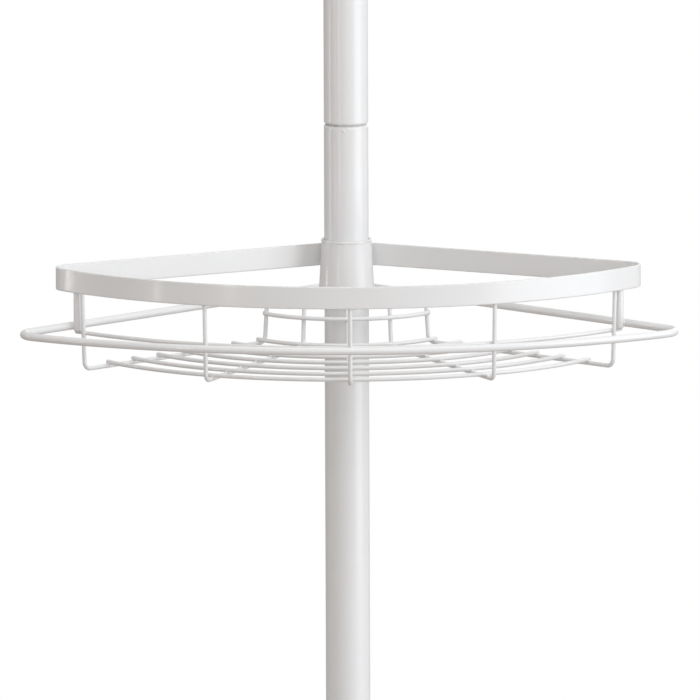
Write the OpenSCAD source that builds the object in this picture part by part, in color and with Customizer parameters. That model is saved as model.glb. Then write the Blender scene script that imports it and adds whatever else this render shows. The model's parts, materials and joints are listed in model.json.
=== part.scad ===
// Corner shower caddy: a welded wire shelf with a towel rail, held by a split wedge collar
// on a sprung pole that is braced between the floor and the ceiling.
// Millimetres. +Z is up, -Y faces the room, and the origin is where the foot rests on the floor.

/* [Pole] */
// Outside diameter of both pole tubes
pole_d = 25.4; // [20:0.1:31]
// Wall of both pole tubes
pole_wall = 1.2; // [0.8:0.1:1.6]
// Height of the joint where the upper tube sits on the lower one
joint_z = 760; // [600:1:960]
// Length of the upper tube
upper_len = 640; // [500:1:900]
// Length of the swaged neck that stands inside the upper tube
neck_len = 60; // [40:1:90]
// Rounding of the tube ends at the joint
lip_r = 0.9; // [0.4:0.1:1.1]
// Gap that shows as a dark line at the joint
joint_gap = 0.8; // [0.4:0.1:1.5]
// Depth below the shoulder at which the lower tube's bore starts to narrow
narrow_from = 4; // [3:0.5:8]
// Height over which the lower tube's bore narrows to the neck's
narrow_h = 3; // [2:0.5:6]

/* [Sprung top] */
// Radial space between the sprung tube and the upper tube's bore
plunger_space = 1.6; // [1.4:0.1:2.2]
// Wall of the sprung tube
plunger_wall = 1; // [0.8:0.1:1.4]
// Length of the bush that guides the sprung tube
bush_h = 60; // [45:1:80]
// Stretch of the sprung tube above the upper tube
plunger_out = 95; // [80:1:130]
// Free length between the spring seat and the sprung tube's plug
spring_len = 150; // [120:1:180]
// Diameter of the spring wire
spring_wire = 2; // [1.6:0.1:2.4]
// Number of turns of the spring
spring_turns = 14; // [8:1:16]
// Diameter of the cross pin under the spring
pin_d = 4; // [3:0.1:5]

/* [Feet] */
// Diameter of the foot and ceiling cups
foot_d = 58; // [46:1:70]
// Height of the cups
cup_h = 34; // [28:1:44]
// Depth of the cup that the pole stands in
socket_depth = 26; // [20:1:26]
// Thickness of the rubber pads
pad_t = 4; // [3:0.5:6]
// Width of the rim by which a pad grips its cup
pad_lip = 2; // [1.5:0.1:3]

/* [Wedge collar] */
// Depth from the rim's upper edge to the wedge's thin upper end
wedge_drop = 6; // [4:0.5:9]
// Height of the wedge that fills the shelf's sleeve
wedge_h = 25.5; // [18:0.5:26]
// Thickness of the wedge at its thin upper end
wedge_thin = 0.5; // [0.4:0.1:0.8]
// Widening of the sleeve and the wedge per millimetre downwards
taper = 0.054; // [0.04:0.002:0.07]
// Height of the lip under the sleeve
wedge_lip_h = 2.4; // [1.5:0.1:3]
// Gap between the two halves of the collar
wedge_split = 1.6; // [1:0.1:3]
// Straight foot of the wedge above the sleeve's lower edge
wedge_straight = 0.5; // [0.3:0.1:1]
// Chamfer under the lip
wedge_chamfer = 0.6; // [0.3:0.1:0.8]

/* [Shelf] */
// Height of the shelf's upper edge
shelf_z = 689; // [600:1:900]
// Height of the flat rim strip
strip_h = 12.8; // [10:0.1:16]
// Thickness of the flat rim strip
strip_t = 1.6; // [1.2:0.1:2.4]
// Distance from the pole's axis to the rim's front face
rim_front = 162.5; // [130:0.5:200]
// Radius of the rim's bowed front
rim_arc_r = 213; // [200:1:240]
// Radius of the rim's outer corners
rim_corner_r = 12; // [10:0.5:20]
// Angle from the front to each straight side of the rim
rim_half_angle = 62; // [60:0.5:64]
// Depth from the rim's upper edge to the middle of the floor wires
basket_depth = 56.6; // [46:0.1:70]
// Diameter of the thin wires
wire_d = 2.4; // [2:0.1:3]
// Inner radius of the bends in the thin wires, measured at the wire's middle
wire_bend_r = 4.5; // [3.5:0.1:5]
// Depth by which welded pieces are fused into each other
weld_sink = 0.3; // [0.1:0.05:0.4]
// Wall of the sleeve
hub_wall = 1; // [0.8:0.1:1.4]
// Height of the sleeve above the rim's upper edge
hub_above = 4; // [2:0.5:8]
// Thickness of the sleeve's rolled upper bead
bead_t = 1.4; // [1.2:0.1:1.6]

/* [Shelf wires] */
// Offset of the two inner front legs from the middle
leg_x_inner = 82.6; // [70:0.1:90]
// Distance of the two outer front legs from the posts, across the shelf
leg_post_gap = 2.5; // [2:0.1:12]
// Offset of the two inner rear legs from the middle
rear_x_inner = 25.2; // [21:0.1:28]
// Offset of the two outer rear legs from the middle
rear_x_outer = 46.9; // [44:0.1:50]
// Radius of the circle that the rear legs stand on
rear_circle_r = 57.6; // [55:0.1:62]
// Lean of every leg from its foot to its top
leg_lean = 2; // [0:0.5:3]
// Depth from the rim's upper edge to the tops of the front legs
leg_drop = 2; // [1:0.5:5]
// Height of the rear legs' upper ends above the sleeve's foot
rear_rise = 3; // [2:0.5:8]
// Number of bowed floor wires
arc_count = 7; // [7:1:7]
// Radius of the bowed floor wire nearest the front
front_arc_r = 165; // [160:1:172]
// Length of floor wire past the outermost radial wire
arc_overhang = 1.8; // [1.4:0.1:5]
// Length of the hoop past the posts
hoop_overhang = 1; // [0.5:0.5:4]
// Height of the rear cross wire over the floor wires
rear_arc_up = 14.7; // [10:0.1:18]
// Length of the rear cross wire past the outer rear legs
rear_arc_overhang = 1.2; // [0.6:0.1:4]
// Space between the hindmost floor wire and the start of the rear legs' bends
bend_space = 0.1; // [0.05:0.05:1]

/* [Towel rail] */
// Diameter of the rail and its posts
rail_d = 4.4; // [4:0.1:5.5]
// Depth from the rim's upper edge to the rail
rail_drop = 32.3; // [28:0.1:36]
// Distance from the rim's front face to the rail's bowed front
rail_out = 30; // [20:0.5:45]
// Radius of the rail's bowed front
rail_arc_r = 300; // [285:1:330]
// Radius of the rail's outer corners
rail_corner_r = 14; // [10:0.5:20]
// Radius of the rail's bend behind the pole
rail_back_r = 18; // [12:0.5:24]
// Distance of each post from the rim's widest point, across the shelf
post_inset = 12.3; // [10:0.1:16]
// Depth from the rim's upper edge to the posts' tops
post_drop = 1.5; // [1:0.5:4]
// Length of the posts below the rail
post_tail = 0.5; // [0.3:0.1:3]

/* [Clearances] */
// Running clearance round the pole and round the wedge
run_gap = 0.3; // [0.25:0.05:0.4]
// Clearance of a fixed plug or neck in its tube
fit_gap = 0.05; // [0.02:0.01:0.1]

/* [Hidden] */
$fn = 48;

paint = "white";
plastic = "whitesmoke";
rubber = "gainsboro";
steel = "silver";

// Pole
pole_r = pole_d / 2;
bore_r = pole_r - pole_wall;
neck_r = bore_r - fit_gap;
socket_floor_z = pad_t + cup_h - socket_depth;
plug_flange_h = 3;
plug_h = 20;
base_z = socket_floor_z + plug_flange_h;
upper_top_z = joint_z + upper_len;
fine = 0.01;
seam = 0.02;
seam_run = 0.25;

// Sprung top
plunger_r = bore_r - plunger_space;
bush_flange_h = 3;
bush_flange_over = 1;
plunger_foot_z = upper_top_z - bush_h - fit_gap;
plunger_head_z = upper_top_z + plunger_out;
stop_flange_h = 6;
stop_z = plunger_foot_z - stop_flange_h;
spring_seat_h = 14;
seat_top_z = stop_z - spring_len;
pin_z = seat_top_z - spring_seat_h / 2;
pin_head = 0.5;
plug_tail = 16;
ceiling_z = plunger_head_z + cup_h - socket_depth + pad_t;

// Shelf heights
wedge_top_z = shelf_z - wedge_drop;
wedge_foot_z = wedge_top_z - wedge_h;
hub_foot_z = wedge_foot_z;
rear_top_z = hub_foot_z + rear_rise;
hub_top_z = shelf_z + hub_above;
strip_low_z = shelf_z - strip_h;
floor_z = shelf_z - basket_depth;
wire_r = wire_d / 2;
arc_z = floor_z + wire_d - weld_sink;
rail_r = rail_d / 2;
rail_z = shelf_z - rail_drop;
post_foot_z = rail_z - rail_r - post_tail;
hoop_z = post_foot_z - wire_r + weld_sink;
rear_arc_z = arc_z + rear_arc_up;

// Outer radius of the sleeve at a height
function hub_r(z) = pole_r + 2 * run_gap + wedge_thin + hub_wall + taper * (wedge_top_z - z);

// Rim: the middle line of the strip, wrapped round the sleeve
rim_back_r = hub_r(strip_low_z) - weld_sink / 2 + strip_t / 2;
rim_mid_front = rim_front - strip_t / 2;
rim_mid_arc_r = rim_arc_r - strip_t / 2;
rim_arc_y = rim_arc_r - rim_front;
rim_inner_r = rim_arc_r - strip_t;
rim_corner_x = corner_of(rim_back_r, 0, rim_half_angle, rim_corner_r, rim_mid_arc_r, rim_mid_front)[0];
post_x = rim_corner_x + rim_corner_r + strip_t / 2 - post_inset;

// Front legs stand against the rim's inner face, rear legs on a circle round rear_y
leg_circle_r = rim_inner_r - wire_r + weld_sink;
rear_front = hub_r(rear_top_z) + wire_r - weld_sink + leg_lean;
rear_y = rear_circle_r - rear_front;
leg_top_z = shelf_z - leg_drop;
leg_x_outer = post_x - leg_post_gap;
leg_x = [-leg_x_outer, -leg_x_inner, 0, leg_x_inner, leg_x_outer];
rear_x = [-rear_x_outer, -rear_x_inner, 0, rear_x_inner, rear_x_outer];
hoop_lean = leg_lean * (leg_top_z - hoop_z) / (leg_top_z - floor_z);
hoop_r = leg_circle_r - hoop_lean - wire_d + weld_sink;
rear_arc_lean = leg_lean * (rear_arc_z - floor_z) / (rear_top_z - floor_z);
rear_arc_r = rear_circle_r - rear_arc_lean + wire_d - weld_sink;
rear_arc_leg_x = rear_x_outer * (1 - rear_arc_lean / rear_circle_r);

// Floor wires go from the front one to one that clears the rear legs' bends
front_arc_y = front_arc_r - (leg_circle_r - rim_arc_y - leg_lean - wire_bend_r - wire_r / 2);
back_arc_r = rear_circle_r + wire_bend_r + bend_space;

// Rail: its sides pass the posts on the outside
post_circle_r = rim_inner_r - rail_r + weld_sink;
post_y = rim_arc_y - sqrt(pow(post_circle_r, 2) - pow(post_x, 2));
rail_half_angle = 45;
rail_front = rim_front + rail_out;
rail_apex_y = post_y + post_x + (rail_d - weld_sink) * sqrt(2);
rail_back_y = rail_apex_y - rail_back_r / sin(rail_half_angle);

function unit(v) = v / norm(v);
function mix(a, b, t) = a + (b - a) * t;

// Point of a circle of radius r round (0, cy), at offset x, on its front side
function front_of(x, r, cy) = [x, cy - sqrt(r * r - x * x)];

// Distance along a line from point p in direction d to the circle of radius r round (0, cy)
function reach(p, d, r, cy) =
    let (q = [p[0], p[1] - cy], b = q * d)
    -b + sqrt(b * b - q * q + r * r);

// Middle of the right corner's bend of a loop like a slice of pie, see pie_loop
function corner_of(back_r, back_y, half, corner_r, arc_r, front) =
    let (
        side = [sin(half), -cos(half)],
        from = [0, back_y + back_r / sin(half)] - corner_r * [cos(half), sin(half)])
    from + reach(from, side, arc_r - corner_r, arc_r - front) * side;

// Places its children with x, y and z along three given directions
module aim(at, x, y, z) {
    multmatrix([
        [x[0], y[0], z[0], at[0]],
        [x[1], y[1], z[1], at[1]],
        [x[2], y[2], z[2], at[2]],
        [0, 0, 0, 1]
    ]) children();
}

// A round bar from one point to another
module bar(from, to, r) {
    along = to - from;
    len = norm(along);
    turn = acos(along[2] / len);
    translate(from)
        rotate([0, turn, atan2(along[1], along[0])])
            cylinder(h = len, r = r);
}

// A round wire through a list of points, bent with radius bend at each inner one.
// Bending draws the wire down by seam, and each bend runs a little way into its bars.
module bent_wire(points, r, bend) {
    last = len(points) - 1;
    dirs = [for (i = [0 : last - 1]) unit(points[i + 1] - points[i])];
    turns = [for (i = [1 : last - 1]) acos(dirs[i - 1] * dirs[i])];
    cuts = concat([0], [for (t = turns) bend * tan(t / 2)], [0]);
    more = seam_run / bend * 180 / PI;
    for (i = [0 : last - 1])
        bar(points[i] + dirs[i] * cuts[i], points[i + 1] - dirs[i] * cuts[i + 1], r);
    for (i = [1 : last - 1]) {
        inward = unit(dirs[i] - (dirs[i] * dirs[i - 1]) * dirs[i - 1]);
        start = points[i] - dirs[i - 1] * cuts[i];
        aim(start + inward * bend, -inward, dirs[i - 1], cross(dirs[i - 1], inward))
            rotate([0, 0, -more]) rotate_extrude(angle = turns[i - 1] + 2 * more)
                translate([bend, 0]) circle(r - seam);
    }
}

// Sweeps a flat profile round an arc centred on (0, cy), from one angle off the front to another
module front_arc(r, cy, from, to) {
    translate([0, cy, 0]) rotate([0, 0, from - 90])
        rotate_extrude(angle = to - from) translate([r, 0]) children();
}

// A closed loop like a slice of pie: a back bend, two straight sides, two corners, a bowed front.
// The first child is the profile of the sides and the front, and the second that of the bends,
// which is drawn down by seam. A profile's x points out of the loop and its y points up.
module pie_loop(back_r, back_y, half, corner_r, arc_r, front) {
    arc_y = arc_r - front;
    apex_y = back_y + back_r / sin(half);
    side = [sin(half), -cos(half)];
    inward = [-cos(half), -sin(half)];
    corner = corner_of(back_r, back_y, half, corner_r, arc_r, front);
    run = (corner - [0, apex_y] - corner_r * inward) * side;
    bow = atan2(corner[0], arc_y - corner[1]);
    side_from = back_r / tan(half);
    back_more = seam_run / back_r * 180 / PI;
    corner_more = seam_run / corner_r * 180 / PI;
    front_arc(arc_r, arc_y, -bow, bow) children(0);
    translate([0, back_y, 0]) rotate([0, 0, half - back_more])
        rotate_extrude(angle = 180 - 2 * half + 2 * back_more) translate([back_r, 0]) children(1);
    for (flip = [0, 1]) mirror([flip, 0, 0]) {
        translate([corner[0], corner[1], 0]) rotate([0, 0, bow - 90 - corner_more])
            rotate_extrude(angle = 90 + half - bow + 2 * corner_more)
                translate([corner_r, 0]) children(1);
        aim([side[0] * side_from, apex_y + side[1] * side_from, 0],
            [-inward[0], -inward[1], 0], [0, 0, 1], [side[0], side[1], 0])
            linear_extrude(run - side_from) children(0);
    }
}

// ---- Feet ----

// The outline of a cup, with its socket, resting on its wide face
module cup_shape() {
    wide = foot_d / 2;
    neck = pole_r + 4;
    rim = 6;
    rotate_extrude() polygon([
        [0, 0], [wide - 1, 0], [wide, 1], [wide, rim - 1.5], [wide - 1.5, rim],
        [neck + 3, rim + 3.5], [neck, rim + 9], [neck - 1, cup_h - 1], [neck - 2, cup_h],
        [pole_r + run_gap, cup_h], [pole_r + run_gap, cup_h - socket_depth], [0, cup_h - socket_depth]
    ]);
}

// A rubber pad whose rim grips the cup's wide face
module pad_shape() {
    wide = foot_d / 2;
    outer = wide + pad_lip;
    lip_top = pad_t + 3;
    rotate_extrude() polygon([
        [0, 0], [outer - 1.5, 0], [outer, 1.5], [outer, lip_top - 0.5], [outer - 0.5, lip_top],
        [wide, lip_top], [wide, pad_t + 1], [wide - 1, pad_t], [0, pad_t]
    ]);
}

module foot_pad() {
    color(rubber) pad_shape();
}

module foot_cup() {
    color(plastic) translate([0, 0, pad_t]) cup_shape();
}

module ceiling_cup() {
    color(plastic) translate([0, 0, ceiling_z - pad_t]) rotate([180, 0, 0]) difference() {
        union() {
            cup_shape();
            translate([0, 0, cup_h - socket_depth]) cylinder(h = socket_depth, r = pole_r + 1);
        }
        translate([0, 0, cup_h - socket_depth])
            cylinder(h = socket_depth + 1, r = plunger_r + fit_gap);
    }
}

module ceiling_pad() {
    color(rubber) translate([0, 0, ceiling_z]) rotate([180, 0, 0]) pad_shape();
}

// ---- Pole ----

// Plug that closes the lower tube and turns on the cup's floor
module base_plug() {
    color(plastic) translate([0, 0, socket_floor_z]) rotate_extrude() polygon([
        [0, 0], [pole_r - 1, 0], [pole_r, 1], [pole_r, plug_flange_h],
        [bore_r - fit_gap, plug_flange_h], [bore_r - fit_gap, plug_flange_h + plug_h - 2],
        [bore_r - fit_gap - 1, plug_flange_h + plug_h], [0, plug_flange_h + plug_h]
    ]);
}

// Lower tube, drawn in at its top to a neck with a rounded shoulder
module base_tube() {
    shoulder_z = joint_z - joint_gap;
    narrow_z = shoulder_z - narrow_from;
    drop = pole_r - neck_r;
    color(paint) difference() {
        union() {
            translate([0, 0, base_z]) cylinder(h = shoulder_z - drop - base_z, r = pole_r);
            translate([0, 0, shoulder_z - drop]) rotate_extrude() intersection() {
                square([pole_r, drop]);
                union() {
                    square([neck_r, drop]);
                    translate([neck_r, 0]) circle(drop);
                }
            }
            translate([0, 0, shoulder_z - fine]) cylinder(h = neck_len + fine, r = neck_r);
        }
        translate([0, 0, base_z - 1]) cylinder(h = narrow_z - base_z + 1, r = bore_r);
        translate([0, 0, narrow_z - fine])
            cylinder(h = narrow_h, r1 = bore_r, r2 = neck_r - pole_wall);
        translate([0, 0, narrow_z + narrow_h - 2 * fine])
            cylinder(h = narrow_from + neck_len, r = neck_r - pole_wall);
    }
}

// Upper tube with a curled lower edge, drilled for the cross pin
module upper_tube() {
    color(paint) difference() {
        translate([0, 0, joint_z]) rotate_extrude() difference() {
            translate([bore_r, 0]) square([pole_wall, upper_len]);
            translate([pole_r - lip_r, 0]) difference() {
                square([lip_r + 1, lip_r]);
                translate([0, lip_r]) circle(lip_r);
            }
        }
        translate([0, 0, pin_z]) rotate([90, 0, 0])
            cylinder(h = pole_d + 2, r = pin_d / 2 + fit_gap, center = true);
    }
}

// Bush in the upper tube's mouth that guides the sprung tube
module guide_bush() {
    color(plastic) translate([0, 0, upper_top_z]) rotate_extrude() polygon([
        [plunger_r + run_gap, -bush_h], [bore_r - fit_gap, -bush_h], [bore_r - fit_gap, 0],
        [pole_r + bush_flange_over, 0], [pole_r + bush_flange_over, bush_flange_h - 1],
        [pole_r + bush_flange_over - 1, bush_flange_h], [plunger_r + run_gap, bush_flange_h]
    ]);
}

// Seat that carries the spring inside the upper tube
module spring_seat() {
    color(plastic) difference() {
        translate([0, 0, seat_top_z - spring_seat_h])
            cylinder(h = spring_seat_h, r = bore_r - fit_gap);
        translate([0, 0, pin_z]) rotate([90, 0, 0])
            cylinder(h = pole_d, r = pin_d / 2 + fit_gap, center = true);
    }
}

// Cross pin with low domed heads, through the upper tube and the spring seat
module cross_pin() {
    color(steel) translate([0, 0, pin_z]) rotate([90, 0, 0]) {
        cylinder(h = pole_d, r = pin_d / 2, center = true);
        for (end = [0, 1]) mirror([0, 0, end]) translate([0, 0, pole_r]) intersection() {
            cylinder(h = pin_head, r = pin_d / 2);
            translate([0, 0, pin_head - pin_d]) sphere(pin_d);
        }
    }
}

// Compression spring between the seat and the sprung tube's plug
module tension_spring() {
    coil_r = bore_r - run_gap - 0.5 - spring_wire / 2;
    sides = 8;
    per_turn = 14;
    low = seat_top_z + spring_wire / 2;
    high = stop_z - spring_wire / 2;
    steps = spring_turns * per_turn;
    pitch = (high - low) / spring_turns;
    slope = atan2(pitch, 360 * coil_r * PI / 180);
    rings = [for (i = [0 : steps]) let (
            turn = i * 360 / per_turn,
            out = [cos(turn), sin(turn), 0],
            up = [sin(turn) * sin(slope), -cos(turn) * sin(slope), cos(slope)],
            mid = coil_r * out + [0, 0, low + (high - low) * i / steps])
        for (k = [0 : sides - 1])
            mid + spring_wire / 2 * (cos(k * 360 / sides) * out + sin(k * 360 / sides) * up)];
    walls = [for (i = [0 : steps - 1]) for (k = [0 : sides - 1]) let (
            a = i * sides + k,
            b = i * sides + (k + 1) % sides)
        for (face = [[a, a + sides, b + sides], [a, b + sides, b]]) face];
    caps = [
        [for (k = [0 : sides - 1]) k],
        [for (k = [0 : sides - 1]) steps * sides + sides - 1 - k]
    ];
    color(steel) polyhedron(rings, concat(walls, caps));
}

// ---- Sprung tube ----

// Plug in the sprung tube's foot, with the flange that stops it under the bush
module plunger_plug() {
    color(plastic) {
        translate([0, 0, stop_z]) cylinder(h = stop_flange_h, r = bore_r - run_gap);
        translate([0, 0, plunger_foot_z - fine])
            cylinder(h = plug_tail, r = plunger_r - plunger_wall - fit_gap);
    }
}

module plunger_tube() {
    color(paint) translate([0, 0, plunger_foot_z]) difference() {
        cylinder(h = plunger_head_z - plunger_foot_z, r = plunger_r);
        translate([0, 0, -1])
            cylinder(h = plunger_head_z - plunger_foot_z + 2, r = plunger_r - plunger_wall);
    }
}

// ---- Wedge collar ----

// Half of the wedge with its lip, on the side that the given sign points to
module collar_half(side) {
    inner = pole_r + run_gap;
    thin = inner + wedge_thin;
    thick = thin + taper * (wedge_h - wedge_straight);
    lip = hub_r(hub_foot_z) - hub_wall / 2;
    difference() {
        translate([0, 0, wedge_foot_z]) rotate_extrude() polygon([
            [inner, -wedge_lip_h], [lip - wedge_chamfer, -wedge_lip_h], [lip, wedge_chamfer - wedge_lip_h],
            [lip, -run_gap], [thick, -run_gap], [thick, wedge_straight], [thin, wedge_h],
            [inner, wedge_h]
        ]);
        translate([-lip - 1, side > 0 ? -lip - 1 : -wedge_split / 2, wedge_foot_z - wedge_lip_h - 1])
            cube([2 * lip + 2, lip + 1 + wedge_split / 2, wedge_h + wedge_lip_h + 2]);
    }
}

module collar_front() {
    color(plastic) collar_half(-1);
}

module collar_back() {
    color(plastic) collar_half(1);
}

// ---- Shelf ----

// Tapered sleeve with a rolled bead round its upper mouth
module hub_sleeve() {
    top = hub_r(hub_top_z);
    bead = bead_t / 2;
    color(paint) rotate_extrude() union() {
        polygon([
            [hub_r(hub_foot_z) - hub_wall, hub_foot_z], [hub_r(hub_foot_z), hub_foot_z],
            [top, hub_top_z - bead], [top - hub_wall, hub_top_z - bead]
        ]);
        translate([top - hub_wall / 2, hub_top_z - bead]) circle(bead);
    }
}

// Section of the strip, shrunk all round by the given amount
module strip_profile(less) {
    translate([less - strip_t / 2, strip_low_z + less]) square([strip_t - 2 * less, strip_h - 2 * less]);
}

module rim_band() {
    color(paint) pie_loop(rim_back_r, 0, rim_half_angle, rim_corner_r, rim_mid_arc_r, rim_mid_front) {
        strip_profile(0);
        strip_profile(seam);
    }
}

module towel_rail() {
    color(paint)
        pie_loop(rail_back_r, rail_back_y, rail_half_angle, rail_corner_r, rail_arc_r, rail_front) {
            translate([0, rail_z]) circle(rail_r);
            translate([0, rail_z]) circle(rail_r - seam);
        }
}

// Post that carries the rail, welded inside the rim
module post(side) {
    translate([side * post_x, post_y, post_foot_z])
        cylinder(h = shelf_z - post_drop - post_foot_z, r = rail_r);
}

module left_post() {
    color(paint) post(-1);
}

module right_post() {
    color(paint) post(1);
}

// Wire i: down from the rim, back along the floor, up to the sleeve
module radial_wire(i) {
    top = front_of(leg_x[i], leg_circle_r, rim_arc_y);
    back = front_of(rear_x[i], rear_circle_r, rear_y);
    foot = top + leg_lean * unit(back - top);
    high = back + leg_lean * unit([0, rear_y] - back);
    hub = unit(high) * (hub_r(rear_top_z) - weld_sink);
    path = [
        [top[0], top[1], leg_top_z], [foot[0], foot[1], floor_z], [back[0], back[1], floor_z],
        [high[0], high[1], rear_top_z]
    ];
    reaches = rear_x[i] != 0;
    color(paint)
        bent_wire(reaches ? concat(path, [[hub[0], hub[1], rear_top_z]]) : path, wire_r, wire_bend_r);
}

// Bowed floor wire k, counted from the front, ending just past the outer radial wires
module floor_arc(k) {
    t = k / (arc_count - 1);
    r = mix(front_arc_r, back_arc_r, t);
    cy = mix(front_arc_y, rear_y, t);
    front = front_of(leg_x_outer, leg_circle_r, rim_arc_y);
    back = front_of(rear_x_outer, rear_circle_r, rear_y);
    along = unit(front - back);
    cross_at = back + reach(back, along, r, cy) * along;
    half = atan2(cross_at[0], cy - cross_at[1]) + arc_overhang / r * 180 / PI;
    color(paint) translate([0, 0, arc_z]) front_arc(r, cy, -half, half) circle(wire_r);
}

// Thin hoop inside the front legs, under the posts
module mid_hoop() {
    half = asin((post_x + hoop_overhang) / hoop_r);
    color(paint) translate([0, 0, hoop_z]) front_arc(hoop_r, rim_arc_y, -half, half) circle(wire_r);
}

// Cross wire that ties the rear legs together
module rear_arc() {
    half = asin((rear_arc_leg_x + rear_arc_overhang) / rear_arc_r);
    color(paint) translate([0, 0, rear_arc_z])
        front_arc(rear_arc_r, rear_y, -half, half) circle(wire_r);
}

foot_pad();
foot_cup();
base_plug();
base_tube();
upper_tube();
guide_bush();
spring_seat();
cross_pin();
tension_spring();
plunger_plug();
plunger_tube();
ceiling_cup();
ceiling_pad();
collar_front();
collar_back();
hub_sleeve();
rim_band();
towel_rail();
left_post();
right_post();
mid_hoop();
rear_arc();
for (i = [1 : 5]) radial_wire(i - 1);
for (k = [1 : arc_count]) floor_arc(k - 1);
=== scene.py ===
"""Corner shower caddy: an enamelled wire shelf on a sprung pole, modelled over its CAD frame."""

import json
from math import asin, atan2, cos, pi, radians, sin, sqrt, tan

import bmesh
import bpy
from bpy.props import FloatProperty, FloatVectorProperty, IntProperty, PointerProperty
from mathutils import Matrix, Quaternion, Vector


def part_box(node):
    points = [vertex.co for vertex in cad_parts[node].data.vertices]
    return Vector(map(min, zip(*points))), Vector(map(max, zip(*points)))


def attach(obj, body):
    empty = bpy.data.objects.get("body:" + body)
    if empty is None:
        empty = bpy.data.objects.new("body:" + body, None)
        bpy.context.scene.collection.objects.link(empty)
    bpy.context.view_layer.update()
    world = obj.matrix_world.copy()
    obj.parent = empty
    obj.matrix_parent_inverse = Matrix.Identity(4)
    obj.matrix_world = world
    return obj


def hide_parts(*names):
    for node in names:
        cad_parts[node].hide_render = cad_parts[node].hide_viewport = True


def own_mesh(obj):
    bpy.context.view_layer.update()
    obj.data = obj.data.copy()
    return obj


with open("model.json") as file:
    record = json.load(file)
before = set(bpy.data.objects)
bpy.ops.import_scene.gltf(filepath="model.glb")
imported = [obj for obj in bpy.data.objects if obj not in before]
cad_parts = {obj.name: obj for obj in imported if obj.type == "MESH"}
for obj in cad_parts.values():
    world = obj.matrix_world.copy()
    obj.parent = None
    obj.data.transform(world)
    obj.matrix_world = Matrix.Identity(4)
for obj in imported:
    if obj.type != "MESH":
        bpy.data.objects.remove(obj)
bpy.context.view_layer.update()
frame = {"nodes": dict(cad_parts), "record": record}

bl_info = {
    "name": "Corner shower caddy",
    "version": (1, 0, 0),
    "blender": (4, 5, 0),
    "location": "View3D > Sidebar > Caddy",
    "description": "Builds an enamelled corner shower caddy on its sprung pole, piece by piece",
    "category": "Add Mesh",
}

MM = 0.001
UP = Vector((0, 0, 1))
CLOSE = 1e-6
WEAR = "edge_wear"
HOLD = 0.5 * MM

# How finely round shapes are cut
ROUND_STEPS = 96
BOW_STEPS = 44
CORNER_STEPS = 16
BACK_STEPS = 20
WIRE_SIDES = 20
WIRE_STEP = 3.5 * MM
RAIL_SIDES = 28
RIVET_SIDES = 32
SPRING_SIDES = 12

# Sizes that the CAD frame and this file share, in metres
WELD_SINK = 0.3 * MM
RUN_GAP = 0.3 * MM
WEDGE_THIN = 0.5 * MM
TAPER = 0.054
RAIL_R = 2.2 * MM
RAIL_Y = -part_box("towel_rail")[0].y - RAIL_R
WIRE_R = 1.2 * MM
FLOOR_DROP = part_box("rim_band")[1].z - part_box("radial_wire_3")[0].z - WIRE_R
WEDGE_DROP = 6 * MM
LEG_DROP = 2 * MM
LEG_BESIDE_POST = 2.5 * MM
LEG_X_INNER = 82.6 * MM
REAR_RISE = 3 * MM
REAR_CIRCLE_R = 57.6 * MM
REAR_X_OUTER = 46.9 * MM
REAR_X_INNER = 25.2 * MM
BACK_SPACE = 0.1 * MM
HOOP_OVER = 1 * MM

# The coil inside the upper tube
SPRING_TURNS = 14
SPRING_WIRE_R = 1.0 * MM

# The small press mark on the lower tube, just under the joint
PIP_X = -1.7 * MM
PIP_R = 0.9 * MM
PIP_H = 0.25 * MM
PIP_DROP = 3.2 * MM


def low(node):
    """Lowest corner of a CAD node."""
    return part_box(node)[0]


def high(node):
    """Highest corner of a CAD node."""
    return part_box(node)[1]


def length(name, description, default):
    """A length that the user may change."""
    return FloatProperty(
        name=name, description=description, default=default, unit="LENGTH", precision=5
    )


def colour(name, description, default):
    """A colour that the user may change."""
    return FloatVectorProperty(
        name=name, description=description, default=default, subtype="COLOR", size=3, min=0, max=1
    )


def share(name, description, default):
    """A share from nothing to all that the user may change."""
    return FloatProperty(
        name=name, description=description, default=default, min=0, max=1, subtype="FACTOR"
    )


# ---- Sizes and finishes ----


class CaddyPoleSizes(bpy.types.PropertyGroup):
    """Sizes of the two pole tubes, the sprung tube and their ends."""

    tube_r: length("Tube radius", "Outer radius of both pole tubes", high("upper_tube").x)
    tube_wall: length("Tube wall", "Wall of both pole tubes", 1.2 * MM)
    joint_z: length("Joint height", "Height of the upper tube's lower edge", low("upper_tube").z)
    joint_gap: length("Joint gap", "Gap under the upper tube's edge", 0.8 * MM)
    lip_r: length("Lip rounding", "Rounding of the upper tube's curled edge", 0.9 * MM)
    neck_fit: length("Neck clearance", "Clearance of the neck in the upper tube", 0.05 * MM)
    sprung_r: length("Sprung radius", "Outer radius of the sprung tube", high("plunger_tube").x)
    sprung_wall: length("Sprung wall", "Wall of the sprung tube", 1.0 * MM)
    flange_h: length("Bush flange", "Height of the bush's flange over the upper tube", 3 * MM)
    pin_r: length("Pin radius", "Radius of the cross pin", 2 * MM)
    pin_z: length("Pin height", "Height of the cross pin", 1176.95 * MM)


class CaddyFootSizes(bpy.types.PropertyGroup):
    """Sizes of the foot and ceiling cups and of their pads."""

    cup_r: length("Cup radius", "Radius of a cup's wide face", high("foot_cup").x)
    cup_h: length("Cup height", "Height of a cup", high("foot_cup").z - low("foot_cup").z)
    socket: length("Socket depth", "Depth of the socket that takes the pole", 26 * MM)
    pad_r: length("Pad radius", "Outer radius of a pad", high("foot_pad").x)
    pad_t: length("Pad thickness", "Thickness of a pad under its cup", 4 * MM)
    pad_h: length("Pad height", "Height of a pad with its gripping lip", high("foot_pad").z)


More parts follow.
